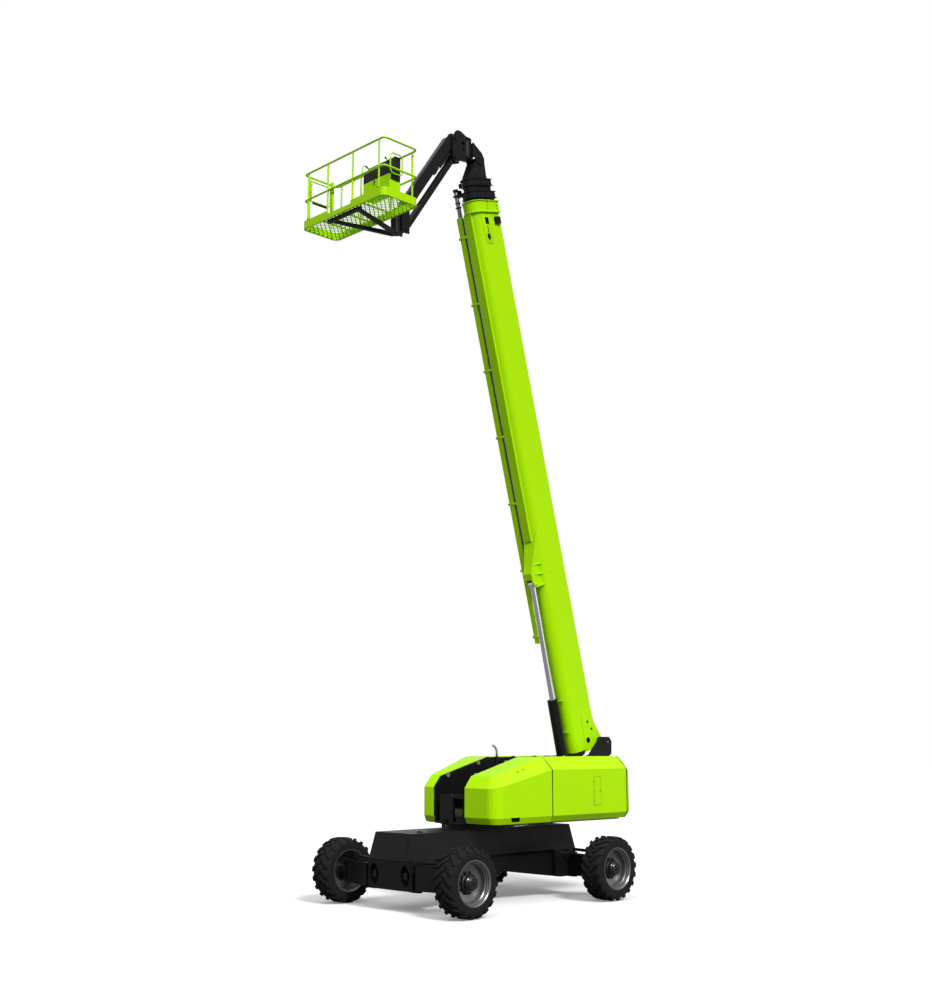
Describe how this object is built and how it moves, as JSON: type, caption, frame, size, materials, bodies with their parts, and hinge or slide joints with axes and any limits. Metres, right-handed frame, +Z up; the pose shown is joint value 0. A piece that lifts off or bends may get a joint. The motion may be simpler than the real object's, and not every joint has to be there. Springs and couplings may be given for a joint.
{
  "type": "telescopic boom lift",
  "caption": "Self-propelled telescopic boom lift: wheeled chassis with swing-out axle arms, slewing turntable, four-section boom, jib and railed work platform.",
  "frame": {"origin": "on the ground under the slewing axis, midway between the wheels", "axes": "+X the way the boom points, +Y to the left of that, +Z up; y = 0 is the mid-plane of the chassis and boom"},
  "size_m": [7.2712, 3.789, 15.5364],
  "materials": {
    "paint_green": "gloss",
    "paint_black": "satin",
    "rim_grey": "satin",
    "rubber_black": "matte",
    "chrome_rod": "polished",
    "steel_grey": "satin",
    "cast_black": "rough"
  },
  "bodies": {
    "chassis": {"chassis": "paint_black", "tie_downs": "paint_black", "axle_arms": "paint_black", "swing_cylinders": "paint_black", "slew_ring": "paint_black"},
    "knuckle_front_left": {"knuckle_front_left": "paint_black"},
    "wheel_front_left": {"rim_front_left": "rim_grey", "tyre_front_left": "rubber_black"},
    "knuckle_front_right": {"knuckle_front_right": "paint_black"},
    "wheel_front_right": {"rim_front_right": "rim_grey", "tyre_front_right": "rubber_black"},
    "knuckle_rear_left": {"knuckle_rear_left": "paint_black"},
    "wheel_rear_left": {"rim_rear_left": "rim_grey", "tyre_rear_left": "rubber_black"},
    "knuckle_rear_right": {"knuckle_rear_right": "paint_black"},
    "wheel_rear_right": {"rim_rear_right": "rim_grey", "tyre_rear_right": "rubber_black"},
    "turntable": {"turntable": "paint_black", "rest_pads": "steel_grey", "engine_block": "cast_black", "counterweight": "cast_black", "front_cover_left": "paint_green", "front_cover_right": "paint_green", "tail_cover": "paint_green", "exhaust": "steel_grey", "boom_pivot_pin": "steel_grey"},
    "rear_cover_left": {"rear_cover_left": "paint_green"},
    "rear_cover_right": {"rear_cover_right": "paint_green"},
    "boom_base": {"boom_base": "paint_green", "hose_tray": "paint_green"},
    "boom_second": {"boom_second": "paint_black"},
    "boom_third": {"boom_third": "paint_black"},
    "boom_fly": {"boom_fly": "paint_black"},
    "lift_barrel": {"lift_barrel": "paint_black"},
    "lift_rod": {"lift_rod": "chrome_rod"},
    "level_head": {"level_head": "paint_black"},
    "swing_bracket": {"swing_bracket": "paint_black"},
    "jib_beam": {"jib_beam": "paint_black"},
    "jib_link": {"jib_link": "paint_black"},
    "jib_barrel": {"jib_barrel": "paint_black"},
    "jib_rod": {"jib_rod": "chrome_rod"},
    "jib_end": {"jib_end": "paint_black"},
    "platform": {"platform_support": "paint_black", "platform_floor": "paint_green", "platform_rails": "paint_green", "control_box": "paint_black"},
    "platform_gate": {"platform_gate": "paint_green"}
  },
  "joints": [
    {"name": "steer_front_left", "type": "hinge", "parent": "chassis", "child": "knuckle_front_left", "pos_m": [1.93, 1.436, 0.602], "axis": [0, 0, 1], "range_deg": [-35, 35]},
    {"name": "spin_front_left", "type": "hinge", "parent": "knuckle_front_left", "child": "wheel_front_left", "pos_m": [1.93, 1.672, 0.602], "axis": [0, 1, 0], "continuous": true},
    {"name": "steer_front_right", "type": "hinge", "parent": "chassis", "child": "knuckle_front_right", "pos_m": [1.93, -1.436, 0.602], "axis": [0, 0, 1], "range_deg": [-35, 35]},
    {"name": "spin_front_right", "type": "hinge", "parent": "knuckle_front_right", "child": "wheel_front_right", "pos_m": [1.93, -1.672, 0.602], "axis": [0, 1, 0], "continuous": true},
    {"name": "steer_rear_left", "type": "hinge", "parent": "chassis", "child": "knuckle_rear_left", "pos_m": [-1.93, 1.436, 0.602], "axis": [0, 0, -1], "range_deg": [-35, 35]},
    {"name": "spin_rear_left", "type": "hinge", "parent": "knuckle_rear_left", "child": "wheel_rear_left", "pos_m": [-1.93, 1.672, 0.602], "axis": [0, 1, 0], "continuous": true},
    {"name": "steer_rear_right", "type": "hinge", "parent": "chassis", "child": "knuckle_rear_right", "pos_m": [-1.93, -1.436, 0.602], "axis": [0, 0, -1], "range_deg": [-35, 35]},
    {"name": "spin_rear_right", "type": "hinge", "parent": "knuckle_rear_right", "child": "wheel_rear_right", "pos_m": [-1.93, -1.672, 0.602], "axis": [0, 1, 0], "continuous": true},
    {"name": "slew", "type": "hinge", "parent": "chassis", "child": "turntable", "pos_m": [0, 0, 1.372], "axis": [0, 0, 1], "continuous": true},
    {"name": "rear_cover_left_lift", "type": "hinge", "parent": "turntable", "child": "rear_cover_left", "pos_m": [-0.81, 0.43, 2.704], "axis": [1, 0, 0], "range_deg": [0, 55]},
    {"name": "rear_cover_right_lift", "type": "hinge", "parent": "turntable", "child": "rear_cover_right", "pos_m": [-0.81, -0.43, 2.704], "axis": [-1, 0, 0], "range_deg": [0, 55]},
    {"name": "luff", "type": "hinge", "parent": "turntable", "child": "boom_base", "pos_m": [-3.44, 0, 3.02], "axis": [0, -1, 0], "range_deg": [-75, 2]},
    {"name": "extend_second", "type": "slide", "parent": "boom_base", "child": "boom_second", "axis": [0.2554, 0, 0.9668], "range_m": [0, 8.2]},
    {"name": "extend_third", "type": "slide", "parent": "boom_second", "child": "boom_third", "axis": [0.2554, 0, 0.9668], "range_m": [0, 8.2]},
    {"name": "extend_fly", "type": "slide", "parent": "boom_third", "child": "boom_fly", "axis": [0.2554, 0, 0.9668], "range_m": [0, 8.2]},
    {"name": "lift_barrel_tilt", "type": "hinge", "parent": "turntable", "child": "lift_barrel", "pos_m": [-2.7, 0, 1.9], "axis": [0, -1, 0], "range_deg": [-80, 5]},
    {"name": "lift_rod_slide", "type": "slide", "parent": "lift_barrel", "child": "lift_rod", "axis": [0.2361, 0, 0.9717], "range_m": [-1.75, 0.1]},
    {"name": "head_level", "type": "hinge", "parent": "boom_fly", "child": "level_head", "pos_m": [0.02171, 0, 15.09638], "axis": [0, -1, 0], "range_deg": [-2, 75]},
    {"name": "jib_swing", "type": "hinge", "parent": "level_head", "child": "swing_bracket", "pos_m": [0.28371, 0, 15.09638], "axis": [0, 0, 1], "range_deg": [-60, 60]},
    {"name": "jib_lift", "type": "hinge", "parent": "swing_bracket", "child": "jib_beam", "pos_m": [0.69971, 0, 15.33238], "axis": [0, -1, 0], "range_deg": [-4, 126]},
    {"name": "jib_link_tilt", "type": "hinge", "parent": "swing_bracket", "child": "jib_link", "pos_m": [0.69971, 0, 14.91238], "axis": [0, -1, 0], "range_deg": [-4, 126]},
    {"name": "jib_end_level", "type": "hinge", "parent": "jib_beam", "child": "jib_end", "pos_m": [2.03618, 0, 13.35098], "axis": [0, -1, 0], "range_deg": [-126, 4]},
    {"name": "jib_barrel_tilt", "type": "hinge", "parent": "swing_bracket", "child": "jib_barrel", "pos_m": [0.71971, 0, 15.06237], "axis": [0, -1, 0], "range_deg": [-6, 126]},
    {"name": "jib_rod_slide", "type": "slide", "parent": "jib_barrel", "child": "jib_rod", "axis": [0.6021, 0, -0.7984], "range_m": [-0.06, 0.75]},
    {"name": "platform_turn", "type": "hinge", "parent": "jib_end", "child": "platform", "pos_m": [2.22618, 0, 12.93098], "axis": [0, 0, 1], "range_deg": [-90, 90]},
    {"name": "gate_swing", "type": "hinge", "parent": "platform", "child": "platform_gate", "pos_m": [3.41618, -1.194, 12.87298], "axis": [0, 0, -1], "range_deg": [0, 90]}
  ],
  "couplings": [
    {"joint": "extend_third", "follows": "extend_second", "ratio": 1},
    {"joint": "extend_fly", "follows": "extend_second", "ratio": 1},
    {"joint": "lift_barrel_tilt", "follows": "luff", "ratio": 0.95844},
    {"joint": "lift_rod_slide", "follows": "luff", "m_per_rad": 1.2399},
    {"joint": "head_level", "follows": "luff", "ratio": -1},
    {"joint": "jib_link_tilt", "follows": "jib_lift", "ratio": 1},
    {"joint": "jib_end_level", "follows": "jib_lift", "ratio": -1},
    {"joint": "jib_barrel_tilt", "follows": "jib_lift", "ratio": 0.98226},
    {"joint": "jib_rod_slide", "follows": "jib_lift", "m_per_rad": 0.2187}
  ]
}
